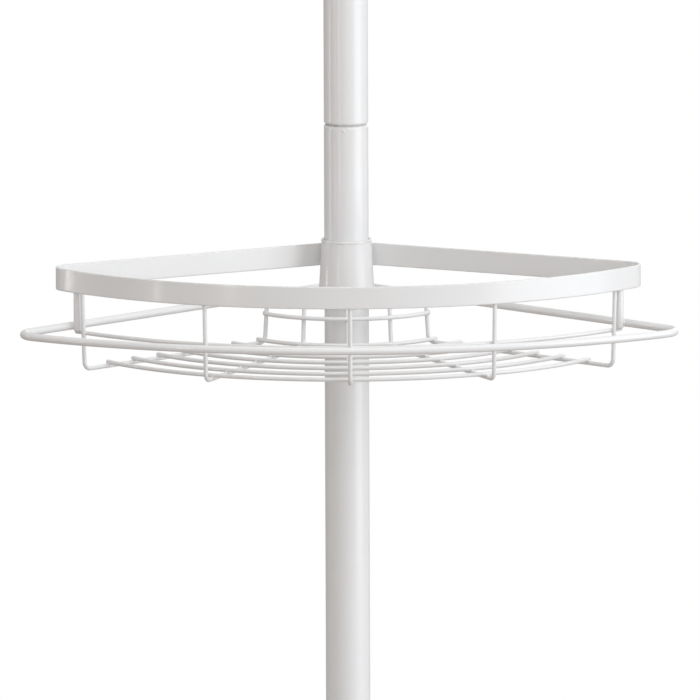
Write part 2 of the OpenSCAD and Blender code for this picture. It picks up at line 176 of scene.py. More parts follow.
class CaddyShelfSizes(bpy.types.PropertyGroup):
    """Sizes of the shelf, its wires, its sleeve and its towel rail."""

    top_z: length("Shelf height", "Height of the rim's upper edge", high("rim_band").z)
    strip_h: length("Strip height", "Height of the rim strip", 12.8 * MM)
    strip_t: length("Strip thickness", "Thickness of the rim strip", 1.6 * MM)
    strip_edge: length("Strip edge", "Rounding of the rim strip's edges", 0.55 * MM)
    rim_front: length("Rim front", "Distance from the pole to the rim's front", -low("rim_band").y)
    rim_bow: length("Rim bow", "Radius of the rim's bowed front", 213 * MM)
    rim_corner: length("Rim corner", "Radius of the rim's outer corners", 12 * MM)
    rim_half: FloatProperty(
        name="Rim half angle",
        description="Angle from the front to each straight side of the rim",
        default=radians(62),
        subtype="ANGLE",
    )
    floor_drop: length("Basket depth", "Depth from the rim to the floor wires", FLOOR_DROP)
    wire_r: length("Wire radius", "Radius of the thin wires", WIRE_R)
    bend_r: length("Wire bend", "Radius of the bends in the thin wires", 4.5 * MM)
    leg_lean: length("Leg lean", "Lean of every leg from its foot to its top", 2 * MM)
    bow_count: IntProperty(name="Floor wires", description="Number of floor wires", default=7)
    bow_front_r: length("Front floor wire", "Radius of the foremost floor wire", 165 * MM)
    bow_over: length("Overhang", "Floor wire past the outermost long wire", 1.8 * MM)
    wall: length("Sleeve wall", "Wall of the sleeve", 1.0 * MM)
    bead: length("Sleeve bead", "Thickness of the sleeve's rolled bead", 1.4 * MM)
    rail_r: length("Rail radius", "Radius of the rail and its posts", RAIL_R)
    rail_front: length("Rail front", "Distance from the pole to the middle of the rail", RAIL_Y)
    rail_bow: length("Rail bow", "Radius of the rail's bowed front", 300 * MM)
    rail_corner: length("Rail corner", "Radius of the rail's outer corners", 14 * MM)
    rail_back: length("Rail back bend", "Radius of the rail's bend behind the pole", 18 * MM)


class CaddyFinishes(bpy.types.PropertyGroup):
    """Colours and gloss of the caddy's finishes."""

    pole_white: colour("Pole white", "Colour of the enamel on the tubes", (0.822, 0.829, 0.842))
    wire_white: colour("Shelf white", "Colour of the enamel on the shelf", (0.812, 0.818, 0.828))
    plastic_white: colour("Plastic white", "Colour of the moulded parts", (0.78, 0.78, 0.775))
    rubber_grey: colour("Pad grey", "Colour of the rubber pads", (0.30, 0.305, 0.31))
    steel: colour("Steel", "Colour of the bright steel", (0.62, 0.63, 0.65))
    dust: colour("Dust", "Colour of the dust that settles on level faces", (0.72, 0.70, 0.66))
    dusting: share("Dusting", "How much dust has settled", 0.12)
    wear: share("Edge wear", "How much the enamel has thinned along its edges", 0.35)
    gloss: share("Enamel roughness", "Roughness of the enamel", 0.285)


def sizes():
    """The pole's, feet's and shelf's sizes, and the finishes, from the scene."""
    scene = bpy.context.scene
    return scene.caddy_pole, scene.caddy_feet, scene.caddy_shelf, scene.caddy_finish


# ---- Node groups and materials ----


def new_group(name, inputs, outputs):
    """An empty shader group with float or colour sockets, or None where it is already there."""
    if name in bpy.data.node_groups:
        return None
    tree = bpy.data.node_groups.new(name, "ShaderNodeTree")
    kinds = {"value": "NodeSocketFloat", "colour": "NodeSocketColor", "vector": "NodeSocketVector"}
    for label, kind, default in inputs:
        socket = tree.interface.new_socket(name=label, in_out="INPUT", socket_type=kinds[kind])
        socket.default_value = default
    for label, kind in outputs:
        tree.interface.new_socket(name=label, in_out="OUTPUT", socket_type=kinds[kind])
    return tree


def feed(tree, socket, value):
    """Links a result to an input socket, or sets the socket's own value."""
    if isinstance(value, bpy.types.NodeSocket):
        tree.links.new(value, socket)
    else:
        socket.default_value = value


def add(tree, kind, links=(), **settings):
    """Adds a node, sets its named or numbered inputs and its own settings, and returns it."""
    node = tree.nodes.new(kind)
    for key, value in settings.items():
        setattr(node, key, value)
    for key, value in dict(links).items():
        feed(tree, node.inputs[key], value)
    return node


def noise(tree, scale, detail=3.0, rough=0.5, stretch=None):
    """Noise on the piece's own coordinates, stretched where the finish runs one way."""
    where = add(tree, "ShaderNodeTexCoord").outputs["Object"]
    if stretch:
        where = add(tree, "ShaderNodeMapping", {"Vector": where, "Scale": stretch}).outputs[0]
    links = {"Vector": where, "Scale": scale, "Detail": detail, "Roughness": rough}
    return add(tree, "ShaderNodeTexNoise", links).outputs[0]


def spread(tree, value, low_in, high_in, low_out=0.0, high_out=1.0):
    """Stretches a value smoothly from one range to another."""
    links = {0: value, 1: low_in, 2: high_in, 3: low_out, 4: high_out}
    node = add(tree, "ShaderNodeMapRange", links, interpolation_type="SMOOTHSTEP")
    return node.outputs[0]


def maths(tree, operation, a, b):
    """One sum of two values."""
    return add(tree, "ShaderNodeMath", {0: a, 1: b}, operation=operation).outputs[0]


def blend_colour(tree, amount, a, b):
    """Mix of two colours by a mask."""
    node = add(tree, "ShaderNodeMix", {0: amount, 6: a, 7: b}, data_type="RGBA")
    return node.outputs[2]


def close_group(tree, **outputs):
    """Links the named results to the group's output."""
    end = tree.nodes.new("NodeGroupOutput")
    for label, socket in outputs.items():
        tree.links.new(socket, end.inputs[label.replace("_", " ")])


def make_groups():
    """Builds the effects that several finishes share."""
    tree = new_group(
        "Sprayed Coat",
        [("Ripple Scale", "value", 700.0), ("Sag Scale", "value", 90.0), ("Sag", "value", 0.6)],
        [("Height", "value")],
    )
    if tree:
        given = tree.nodes.new("NodeGroupInput").outputs
        ripple = noise(tree, given["Ripple Scale"], 2.0, 0.45)
        sag = noise(tree, given["Sag Scale"], 1.0, 0.4, (1, 1, 0.35))
        mixed = add(tree, "ShaderNodeMix", {0: given["Sag"], 2: ripple, 3: sag}).outputs[0]
        close_group(tree, Height=mixed)

    tree = new_group(
        "Tone Drift",
        [
            ("Fresh", "colour", (0.8, 0.8, 0.8, 1)),
            ("Aged", "colour", (0.75, 0.74, 0.7, 1)),
            ("Patch Scale", "value", 14.0),
            ("Amount", "value", 0.5),
        ],
        [("Color", "colour"), ("Patches", "value")],
    )
    if tree:
        given = tree.nodes.new("NodeGroupInput").outputs
        patches = spread(tree, noise(tree, given["Patch Scale"], 3.0, 0.5), 0.3, 0.75)
        drift = maths(tree, "MULTIPLY", patches, given["Amount"])
        tone = blend_colour(tree, drift, given["Fresh"], given["Aged"])
        close_group(tree, Color=tone, Patches=patches)

    tree = new_group(
        "Edge Wear",
        [
            ("Color", "colour", (0.8, 0.8, 0.8, 1)),
            ("Worn", "colour", (0.6, 0.59, 0.57, 1)),
            ("Scratch Scale", "value", 260.0),
            ("Amount", "value", 0.4),
        ],
        [("Color", "colour"), ("Mask", "value")],
    )
    if tree:
        given = tree.nodes.new("NodeGroupInput").outputs
        edge = add(tree, "ShaderNodeAttribute", attribute_name=WEAR).outputs["Fac"]
        broken = spread(tree, noise(tree, given["Scratch Scale"], 6.0, 0.7), 0.4, 0.62)
        mask = maths(tree, "MULTIPLY", maths(tree, "MULTIPLY", edge, broken), given["Amount"])
        close_group(tree, Color=blend_colour(tree, mask, given["Color"], given["Worn"]), Mask=mask)

    tree = new_group(
        "Settled Dust",
        [
            ("Color", "colour", (0.8, 0.8, 0.8, 1)),
            ("Dust", "colour", (0.72, 0.7, 0.66, 1)),
            ("Amount", "value", 0.1),
        ],
        [("Color", "colour"), ("Mask", "value")],
    )
    if tree:
        given = tree.nodes.new("NodeGroupInput").outputs
        normal = add(tree, "ShaderNodeNewGeometry").outputs["Normal"]
        upward = add(tree, "ShaderNodeSeparateXYZ", {0: normal}).outputs[2]
        level = spread(tree, upward, 0.55, 0.98)
        specks = spread(tree, noise(tree, 420.0, 6.0, 0.7), 0.44, 0.66)
        mask = maths(tree, "MULTIPLY", maths(tree, "MULTIPLY", level, specks), given["Amount"])
        close_group(tree, Color=blend_colour(tree, mask, given["Color"], given["Dust"]), Mask=mask)

    tree = new_group(
        "Handled Sheen",
        [
            ("Clean", "value", 0.2),
            ("Wiped", "value", 0.3),
            ("Smear Scale", "value", 30.0),
            ("Dust Mask", "value", 0.0),
        ],
        [("Roughness", "value")],
    )
    if tree:
        given = tree.nodes.new("NodeGroupInput").outputs
        smears = spread(tree, noise(tree, given["Smear Scale"], 3.0, 0.5, (1, 1, 0.4)), 0.25, 0.75)
        rough = add(tree, "ShaderNodeMix", {0: smears, 2: given["Clean"], 3: given["Wiped"]})
        dusty = add(tree, "ShaderNodeMix", {0: given["Dust Mask"], 2: rough.outputs[0], 3: 0.8})
        close_group(tree, Roughness=dusty.outputs[0])

    tree = new_group(
        "Moulded Grain",
        [("Grain Scale", "value", 1500.0), ("Pit Scale", "value", 500.0), ("Pits", "value", 0.4)],
        [("Height", "value"), ("Grain", "value")],
    )
    if tree:
        given = tree.nodes.new("NodeGroupInput").outputs
        grain = noise(tree, given["Grain Scale"], 4.0, 0.65)
        where = add(tree, "ShaderNodeTexCoord").outputs["Object"]
        links = {"Vector": where, "Scale": given["Pit Scale"]}
        cells = add(tree, "ShaderNodeTexVoronoi", links).outputs["Distance"]
        pits = spread(tree, cells, 0.1, 0.6)
        mixed = add(tree, "ShaderNodeMix", {0: given["Pits"], 2: grain, 3: pits}).outputs[0]
        close_group(tree, Height=mixed, Grain=grain)


def start_material(name):
    """An empty material with a Principled shader, and that shader."""
    material = bpy.data.materials.new(name)
    material.use_nodes = True
    tree = material.node_tree
    tree.nodes.clear()
    shader = tree.nodes.new("ShaderNodeBsdfPrincipled")
    end = tree.nodes.new("ShaderNodeOutputMaterial")
    tree.links.new(shader.outputs[0], end.inputs[0])
    return material, tree, shader


def use_group(tree, name, **values):
    """Places a shared group, with its inputs set or linked by name."""
    node = tree.nodes.new("ShaderNodeGroup")
    node.node_tree = bpy.data.node_groups[name]
    for label, value in values.items():
        feed(tree, node.inputs[label.replace("_", " ")], value)
    return node.outputs


def raise_surface(tree, shader, height, depth):
    """Feeds a height to the shader as bump of the given depth."""
    bump = add(tree, "ShaderNodeBump", {"Height": height, "Distance": depth, "Strength": 1.0})
    tree.links.new(bump.outputs[0], shader.inputs["Normal"])


def shade(tone, *shares):
    """A colour with each channel cut to its share."""
    return tuple(channel * share_left for channel, share_left in zip(tone, shares))


def drifting(tree, fresh, aged, scale, amount):
    """A colour that drifts towards an aged one in soft patches."""
    tones = {"Fresh": (*fresh, 1), "Aged": (*aged, 1)}
    return use_group(tree, "Tone Drift", Patch_Scale=scale, Amount=amount, **tones)["Color"]


def dusted(tree, tone, times=1.0):
    """A tone under its settled dust: the colour and the dust's mask."""
    finish = bpy.context.scene.caddy_finish
    amount = finish.dusting * times
    return use_group(tree, "Settled Dust", Color=tone, Dust=(*finish.dust, 1), Amount=amount)


def painted_seam_shade(tree, enamel_tone):
    """The given colour with a broken dark line along the tubes' joint: painted shade standing in for the
    shadow in the joint gap.
    """
    pole = bpy.context.scene.caddy_pole
    where = add(tree, "ShaderNodeTexCoord").outputs["Object"]
    height = add(tree, "ShaderNodeSeparateXYZ", {0: where}).outputs[2]
    away = maths(tree, "SUBTRACT", height, pole.joint_z - pole.joint_gap / 2)
    away = maths(tree, "ABSOLUTE", away, 0.0)
    line = spread(tree, away, 0.1 * MM, 0.8 * MM, 1.0, 0.0)
    broken = spread(tree, noise(tree, 190.0, 4.0, 0.6), 0.3, 0.6, 0.35, 1.0)
    mask = maths(tree, "MULTIPLY", line, broken)
    # Painted shade: the joint gap's shadow, as a broken dark grey line
    return blend_colour(tree, mask, enamel_tone, (0.56, 0.55, 0.535, 1))


def enamel(name, white, ripple, sag, depth, lacquer, jointed=False):
    """Glossy white enamel: faint tone drift, dust on level faces, orange peel and slow sags."""
    finish = bpy.context.scene.caddy_finish
    material, tree, shader = start_material(name)
    enamel_tone = drifting(tree, white, shade(white, 0.985, 0.975, 0.955), 16.0, 0.5)
    # The jointed pole enamel gets the painted shadow line at its joint
    if jointed:
        enamel_tone = painted_seam_shade(tree, enamel_tone)
    edges = use_group(
        tree, "Edge Wear", Color=enamel_tone, Worn=(0.60, 0.585, 0.56, 1), Amount=finish.wear
    )
    dust = dusted(tree, edges["Color"])
    sheen = use_group(
        tree,
        "Handled Sheen",
        Clean=finish.gloss,
        Wiped=finish.gloss + 0.05,
        Smear_Scale=26.0,
        Dust_Mask=dust["Mask"],
    )
    tree.links.new(dust["Color"], shader.inputs["Base Color"])
    tree.links.new(sheen["Roughness"], shader.inputs["Roughness"])
    coat = use_group(tree, "Sprayed Coat", Ripple_Scale=ripple, Sag_Scale=sag, Sag=0.3)
    raise_surface(tree, shader, coat["Height"], depth)
    shader.inputs["IOR"].default_value = 1.5
    shader.inputs["Coat Weight"].default_value = 0.35
    shader.inputs["Coat Roughness"].default_value = lacquer
    return material


def moulded_plastic():
    """White moulded plastic with a fine spark-eroded grain."""
    finish = bpy.context.scene.caddy_finish
    material, tree, shader = start_material("Moulded white plastic")
    white = tuple(finish.plastic_white)
    tone = drifting(tree, white, shade(white, 0.97, 0.95, 0.90), 40.0, 0.5)
    dust = dusted(tree, tone, 1.5)
    sheen = use_group(
        tree, "Handled Sheen", Clean=0.34, Wiped=0.44, Smear_Scale=60.0, Dust_Mask=dust["Mask"]
    )
    tree.links.new(dust["Color"], shader.inputs["Base Color"])
    tree.links.new(sheen["Roughness"], shader.inputs["Roughness"])
    grain = use_group(tree, "Moulded Grain", Grain_Scale=2600.0, Pit_Scale=1400.0, Pits=0.35)
    raise_surface(tree, shader, grain["Height"], 0.02 * MM)
    shader.inputs["IOR"].default_value = 1.46
    shader.inputs["Subsurface Weight"].default_value = 0.05
    shader.inputs["Subsurface Scale"].default_value = 1.5 * MM
    return material


def pad_rubber():
    """Matt grey rubber with bloom and a pebbled face."""
    finish = bpy.context.scene.caddy_finish
    material, tree, shader = start_material("Grip rubber")
    grey = tuple(finish.rubber_grey)
    bloom = tuple(min(1.0, c * 1.35 + 0.02) for c in grey)
    dust = dusted(tree, drifting(tree, grey, bloom, 75.0, 0.45), 3)
    grain = use_group(tree, "Moulded Grain", Grain_Scale=1800.0, Pit_Scale=900.0, Pits=0.6)
    tree.links.new(dust["Color"], shader.inputs["Base Color"])
    rough = spread(tree, grain["Grain"], 0.3, 0.7, 0.68, 0.86)
    tree.links.new(rough, shader.inputs["Roughness"])
    raise_surface(tree, shader, grain["Height"], 0.08 * MM)
    shader.inputs["IOR"].default_value = 1.5
    return material


def bright_steel():
    """Zinc-plated steel with fine drawing lines and a spangled tone."""
    finish = bpy.context.scene.caddy_finish
    material, tree, shader = start_material("Bright plated steel")
    metal = tuple(finish.steel)
    tone = drifting(tree, metal, shade(metal, 0.8, 0.8, 0.8), 320.0, 0.6)
    tree.links.new(tone, shader.inputs["Base Color"])
    lines = noise(tree, 900.0, 3.0, 0.6, (1, 1, 0.05))
    tree.links.new(spread(tree, lines, 0.3, 0.7, 0.2, 0.36), shader.inputs["Roughness"])
    raise_surface(tree, shader, lines, 0.01 * MM)
    shader.inputs["Metallic"].default_value = 1.0
    return material


MATERIAL_MAKERS = {
    "pole_enamel": lambda: enamel(
        "Tube enamel",
        tuple(bpy.context.scene.caddy_finish.pole_white),
        420.0,
        60.0,
        0.02 * MM,
        0.08,
        jointed=True,
    ),
    "wire_enamel": lambda: enamel(
        "Shelf enamel",
        tuple(bpy.context.scene.caddy_finish.wire_white),
        650.0,
        70.0,
        0.035 * MM,
        0.12,
    ),
    "white_plastic": moulded_plastic,
    "grip_rubber": pad_rubber,
    "bright_steel": bright_steel,
}
made_materials = {}


def finish_of(slot):
    """The material of a slot, made once."""
    make_groups()
    if slot not in made_materials:
        made_materials[slot] = MATERIAL_MAKERS[slot]()
    return made_materials[slot]


# ---- Shapes ----


def keep(bm, name, body, slot, *nodes, sharp=38):
    """Turns a mesh into a finished piece that rides on a body and stands for its CAD nodes."""
    bmesh.ops.remove_doubles(bm, verts=bm.verts, dist=CLOSE)
    loose = [e for e in bm.edges if not e.link_faces]
    bmesh.ops.delete(bm, geom=loose, context="EDGES")
    bmesh.ops.delete(bm, geom=[v for v in bm.verts if not v.link_faces], context="VERTS")
    bmesh.ops.recalc_face_normals(bm, faces=bm.faces)
    old = bpy.data.objects.get(name)
    if old:
        bpy.data.objects.remove(old)
    mesh = bpy.data.meshes.new(name)
    bm.to_mesh(mesh)
    bm.free()
    mesh.shade_smooth()
    mesh.set_sharp_from_angle(angle=radians(sharp))
    mesh.materials.append(finish_of(slot))
    piece = bpy.data.objects.new(name, mesh)
    bpy.context.scene.collection.objects.link(piece)
    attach(piece, body)
    if nodes:
        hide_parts(*nodes)
    return piece


def edges_of(geom):
    """Only the edges of an operator's result."""
    return [g for g in geom if isinstance(g, bmesh.types.BMEdge)]


def verts_of(geom):
    """Only the vertices of an operator's result."""
    return [g for g in geom if isinstance(g, bmesh.types.BMVert)]


def new_shape():
    """An empty mesh whose points can say how much the finish wears there."""
    bm = bmesh.new()
    bm.verts.layers.float.new(WEAR)
    return bm


def soften(bm, geom, rounding, cuts, affect):
    """Rounds corners of an outline or edges of a solid."""
    return bmesh.ops.bevel(
        bm,
        geom=geom,
        offset=rounding,
        offset_type="OFFSET",
        segments=cuts,
        profile=0.5,
        affect=affect,
        material=-1,
    )


def round_corners(bm, verts, rounding):
    """Rounds corners of an outline, and marks them as edges that wear."""
    made = soften(bm, verts, rounding, 5, "VERTICES")
    wear = bm.verts.layers.float[WEAR]
    for vert in made["verts"]:
        vert[wear] = 1


def hold_flats(bm):
    """Puts a point near each end of every flat, so that wear and shading stay at the corners."""
    wear = bm.verts.layers.float[WEAR]
    for edge in bm.edges[:]:
        span = edge.calc_length()
        if span < 4 * HOLD:
            continue
        first, last = edge.verts
        near = bmesh.utils.edge_split(edge, first, HOLD / span)[1]
        rest = next(e for e in last.link_edges if near in e.verts)
        far = bmesh.utils.edge_split(rest, last, HOLD / (span - HOLD))[1]
        near[wear] = far[wear] = 0


def outline(bm, corners):
    """A closed outline in the plane through the pole's axis. Each corner is radius, height and
    its rounding, all in millimetres. Returns its edges."""
    verts = [bm.verts.new((r * MM, 0, z * MM)) for r, z, _ in corners]
    bm.faces.new(verts)
    roundings = sorted({c[2] for c in corners if c[2]})
    for rounding in roundings:
        chosen = [v for v, c in zip(verts, corners) if c[2] == rounding]
        round_corners(bm, chosen, rounding * MM)
    bmesh.ops.delete(bm, geom=bm.faces[:], context="FACES_ONLY")
    hold_flats(bm)
    return bm.edges[:]


def spun(corners):
    """A turned piece: the outline spun right round the pole's axis."""
    bm = new_shape()
    edges = outline(bm, corners)
    bmesh.ops.spin(
        bm,
        geom=bm.verts[:] + edges,
        cent=(0, 0, 0),
        axis=UP,
        angle=2 * pi,
        steps=ROUND_STEPS,
        use_merge=True,
    )
    bmesh.ops.remove_doubles(bm, verts=bm.verts, dist=CLOSE)
    bmesh.ops.dissolve_degenerate(bm, edges=bm.edges, dist=CLOSE)
    return bm


def facing(direction):
    """Turn that brings the local upward axis along a direction."""
    return direction.to_track_quat("Z", "Y").to_matrix().to_4x4()


def wire_ring(bm, at, heading, radius, sides=WIRE_SIDES):
    """Edges of a wire's round section at the start of its run."""
    place = Matrix.Translation(at) @ facing(heading)
    made = bmesh.ops.create_circle(
        bm, cap_ends=False, segments=sides, radius=radius, matrix=place
    )
    return list({e for v in made["verts"] for e in v.link_edges})


def run_straight(bm, edges, offset):
    """Draws the open section on by an offset and returns its new end."""
    made = bmesh.ops.extrude_edge_only(bm, edges=edges)["geom"]
    ends = verts_of(made)
    bmesh.ops.translate(bm, verts=ends, vec=offset)
    fresh = set(ends)
    return [e for e in edges_of(made) if set(e.verts) <= fresh]


def run_bend(bm, edges, centre, axis, angle, steps):
    """Draws the open section on round a centre and returns its new end."""
    verts = list({v for e in edges for v in e.verts})
    made = bmesh.ops.spin(
        bm, geom=verts + edges, cent=centre, axis=axis, angle=angle, steps=steps, use_merge=False
    )
    return edges_of(made["geom_last"])


def follow(bm, edges, moves):
    """Draws a section along straight runs and bends, and returns its last end."""
    for kind, *move in moves:
        edges = run_straight(bm, edges, *move) if kind == "run" else run_bend(bm, edges, *move)
    return edges


def round_end(bm, edges, rounding):
    """Closes an open end of a wire and rounds its edge."""
    face = bmesh.ops.edgeloop_fill(bm, edges=edges)["faces"][0]
    soften(bm, face.edges[:], rounding, 4, "EDGES")


def bent_wire_moves(points, bend):
    """Runs and bends of a wire through a list of points."""
    dirs = [(b - a).normalized() for a, b in zip(points, points[1:])]
    turns = [a.angle(b) for a, b in zip(dirs, dirs[1:])]
    cuts = [0] + [bend * tan(t / 2) for t in turns] + [0]
    moves = []
    for i, heading in enumerate(dirs):
        run = (points[i + 1] - points[i]).length - cuts[i] - cuts[i + 1]
        moves.append(("run", heading * run))
        if i < len(turns):
            axis = heading.cross(dirs[i + 1]).normalized()
            start = points[i + 1] - heading * cuts[i + 1]
            centre = start + axis.cross(heading) * bend
            moves.append(("bend", centre, axis, turns[i], max(4, round(turns[i] * 9))))
    return moves


def reach(start, heading, radius, centre_y):
    """Distance along a level line to the circle round a point straight before the pole."""
    from_centre = Vector((start.x, start.y - centre_y))
    along = from_centre.dot(heading.xy)
    return -along + sqrt(along * along - from_centre.dot(from_centre) + radius * radius)


def on_circle(x, radius, centre_y, z=0.0):
    """Front point of a circle round (0, centre_y), at offset x."""
    return Vector((x, centre_y - sqrt(radius * radius - x * x), z))


def pie_loop(back_r, back_y, half, corner_r, bow_r, front, z):
    """Start and moves of a closed loop like a slice of pie, from the middle of its bowed front."""
    bow_y = bow_r - front
    apex_y = back_y + back_r / sin(half)
    side = Vector((sin(half), -cos(half), 0))
    inward = Vector((-cos(half), -sin(half), 0))
    corner_line = Vector((0, apex_y, 0)) + corner_r * inward
    run = reach(corner_line, side, bow_r - corner_r, bow_y)
    corner = corner_line + run * side
    bow = atan2(corner.x, bow_y - corner.y)
    side_run = run - back_r / tan(half)
    front_bow = ("bend", Vector((0, bow_y, 0)), UP, bow, BOW_STEPS)
    corner_turn = pi / 2 + half - bow
    moves = [
        front_bow,
        ("bend", corner, UP, corner_turn, CORNER_STEPS),
        ("run", side * -side_run),
        ("bend", Vector((0, back_y, 0)), UP, pi - 2 * half, BACK_STEPS),
        ("run", Vector((-side.x, side.y, 0)) * side_run),
        ("bend", Vector((-corner.x, corner.y, 0)), UP, corner_turn, CORNER_STEPS),
        front_bow,
    ]
    return Vector((0, bow_y - bow_r, z)), moves


class ShelfLayout:
    """Places of the shelf's wires, worked out from the sizes as the CAD frame has them."""

    def __init__(self):
        pole, _, shelf, _ = sizes()
        wire_r, sink = shelf.wire_r, WELD_SINK
        self.shelf = shelf
        self.strip_mid = shelf.top_z - shelf.strip_h / 2
        self.wedge_top = shelf.top_z - WEDGE_DROP
        self.sleeve_foot = low("hub_sleeve").z
        self.sleeve_top = high("hub_sleeve").z
        self.sleeve_r0 = pole.tube_r + 2 * RUN_GAP + WEDGE_THIN + shelf.wall
        self.floor_z = shelf.top_z - shelf.floor_drop
        self.bow_z = self.floor_z + 2 * wire_r - sink
        self.hoop_z = low("mid_hoop").z + wire_r
        self.rear_z = low("rear_arc").z + wire_r
        self.rail_z = low("towel_rail").z + shelf.rail_r
        self.bow_y = shelf.rim_bow - shelf.rim_front
        inner = shelf.rim_bow - shelf.strip_t
        self.leg_circle = inner - wire_r + sink
        self.leg_top = shelf.top_z - LEG_DROP
        self.rear_top = self.sleeve_foot + REAR_RISE
        near = self.sleeve_r(self.rear_top) + wire_r - sink + shelf.leg_lean
        self.rear_y = REAR_CIRCLE_R - near
        self.post_x = (low("right_post").x + high("right_post").x) / 2
        outer = self.post_x - LEG_BESIDE_POST
        self.leg_x = [-outer, -LEG_X_INNER, 0, LEG_X_INNER, outer]
        self.rear_x = [-REAR_X_OUTER, -REAR_X_INNER, 0, REAR_X_INNER, REAR_X_OUTER]
        lean = shelf.leg_lean * (self.leg_top - self.hoop_z) / (self.leg_top - self.floor_z)
        self.hoop_r = self.leg_circle - lean - 2 * wire_r + sink
        rear_lean = shelf.leg_lean * (self.rear_z - self.floor_z) / (self.rear_top - self.floor_z)
        self.rear_r = REAR_CIRCLE_R - rear_lean + 2 * wire_r - sink
        leg_at_tie = REAR_X_OUTER * (1 - rear_lean / REAR_CIRCLE_R)
        self.rear_half = asin((leg_at_tie + wire_r) / self.rear_r)
        foot_front = self.leg_circle - self.bow_y - shelf.leg_lean - shelf.bend_r - wire_r / 2
        self.bow_front_y = shelf.bow_front_r - foot_front
        self.bow_back_r = REAR_CIRCLE_R + shelf.bend_r + BACK_SPACE

    def sleeve_r(self, z):
        """Outer radius of the sleeve at a height."""
        return self.sleeve_r0 + TAPER * (self.wedge_top - z)

    def wire_points(self, i):
        """Corners of long wire i, from the rim to the sleeve."""
        lean = self.shelf.leg_lean
        top = on_circle(self.leg_x[i], self.leg_circle, self.bow_y, self.leg_top)
        back = on_circle(self.rear_x[i], REAR_CIRCLE_R, self.rear_y, self.floor_z)
        foot = Vector((top.x, top.y, self.floor_z))
        foot += lean * (back - foot).normalized()
        inward = Vector((0, self.rear_y, self.floor_z)) - back
        high_point = back + lean * inward.normalized()
        high_point.z = self.rear_top
        points = [top, foot, back, high_point]
        if self.rear_x[i]:
            hub = Vector((high_point.x, high_point.y, 0)).normalized()
            hub *= self.sleeve_r(self.rear_top) - WELD_SINK
            hub.z = self.rear_top
            points.append(hub)
        return points

    def bow(self, k):
        """Radius and centre of floor wire k, counted from the front."""
        t = k / (self.shelf.bow_count - 1)
        radius = self.shelf.bow_front_r + (self.bow_back_r - self.shelf.bow_front_r) * t
        return radius, self.bow_front_y + (self.rear_y - self.bow_front_y) * t

    def crossing(self, i, radius, centre_y):
        """Where long wire i, on the floor, crosses a circle round (0, centre_y)."""
        _, foot, back = self.wire_points(i)[:3]
        along = (foot - back).normalized()
        return back + reach(back, along, radius, centre_y) * along


# ---- Operators ----


class CADDY_OT_pole(bpy.types.Operator):
    """Make the two enamelled pole tubes with their joint, and the plated cross pin"""

    bl_idname = "caddy.pole"
    bl_label = "Pole tubes"

    def press_mark(self, bm):
        """A small raised mark on the lower tube, just under the joint."""
        pole = sizes()[0]
        across = asin(PIP_X / pole.tube_r)
        out = Vector((sin(across), -cos(across), 0))
        spot = out * (pole.tube_r - PIP_H / 2) + UP * (pole.joint_z - PIP_DROP)
        size = Matrix.Diagonal((PIP_R, PIP_R, 1.5 * PIP_H, 1))
        place = Matrix.Translation(spot) @ facing(out) @ size
        bmesh.ops.create_icosphere(bm, subdivisions=3, radius=1, matrix=place)

    def rivet(self):
        """The cross pin, with a low dome on each end."""
        pole = sizes()[0]
        bm = bmesh.new()
        face = pole.tube_r - 0.05 * MM
        rise = high("cross_pin").y - face
        for side in (-1, 1):
            start = Vector((0, 0, pole.pin_z))
            ring = wire_ring(bm, start, Vector((0, side, 0)), pole.pin_r, RIVET_SIDES)
            ring = run_straight(bm, ring, Vector((0, side * face, 0)))
            dome = bmesh.ops.edgeloop_fill(bm, edges=ring)["faces"]
            for shrink in (0.93, 0.85, 0.7, 0.5):
                inset = pole.pin_r * (1 - shrink) * 0.42
                bmesh.ops.inset_region(bm, faces=dome, thickness=inset, use_even_offset=True)
                moved = list({v for f in dome for v in f.verts})
                bmesh.ops.translate(bm, verts=moved, vec=(0, side * rise * 0.3 * shrink, 0))
        keep(bm, "cross_rivet", "pole", "bright_steel", "cross_pin")

    def execute(self, context):
        pole = sizes()[0]
        r, wall = pole.tube_r / MM, pole.tube_wall / MM
        bore = r - wall
        neck = bore - pole.neck_fit / MM
        shoulder = (pole.joint_z - pole.joint_gap) / MM
        foot, top = low("base_tube").z / MM, high("base_tube").z / MM
        bm = spun([
            (r, foot, 0.3), (r, shoulder, 1.2), (neck, shoulder + 0.02, 0),
            (neck, top, 0.3), (neck - wall, top, 0.3), (neck - wall, shoulder - 1, 0),
            (bore, shoulder - 4, 0), (bore, foot, 0.3),
        ])
        self.press_mark(bm)
        keep(bm, "lower_pole", "pole", "pole_enamel", "base_tube")

        joint, head, lip = pole.joint_z / MM, high("upper_tube").z / MM, pole.lip_r / MM
        tube = [(r, joint, lip), (r, head, 0.3), (bore, head, 0.3), (bore, joint, 0.15)]
        keep(spun(tube), "upper_pole", "pole", "pole_enamel", "upper_tube")
        self.rivet()
        return {"FINISHED"}


class CADDY_OT_sprung_top(bpy.types.Operator):
    """Make the sprung tube and the flanged bush that guides it"""

    bl_idname = "caddy.sprung_top"
    bl_label = "Sprung top"

    def execute(self, context):
        pole = sizes()[0]
        r, wall = pole.tube_r / MM, pole.tube_wall / MM
        sprung = pole.sprung_r / MM
        top, foot = high("guide_bush").z / MM, low("guide_bush").z / MM
        seat = top - pole.flange_h / MM
        grip = r - wall - 0.05
        bore = sprung + RUN_GAP / MM
        flange = high("guide_bush").x / MM
        bush = [
            (bore, foot, 0.3), (grip, foot, 0.3), (grip, seat - 0.6, 0), (grip - 0.25, seat - 0.5, 0),
            (grip - 0.25, seat, 0), (flange, seat, 0.4), (flange, top, 1.1), (bore, top, 0.5),
        ]
        keep(spun(bush), "mouth_bush", "pole", "white_plastic", "guide_bush")

        foot, head = low("plunger_tube").z / MM, high("plunger_tube").z / MM
        inner = sprung - pole.sprung_wall / MM
        tube = [(sprung, foot, 0.3), (sprung, head, 0.3), (inner, head, 0.3), (inner, foot, 0.3)]
        keep(spun(tube), "sprung_pole", "plunger", "pole_enamel", "plunger_tube")
        return {"FINISHED"}


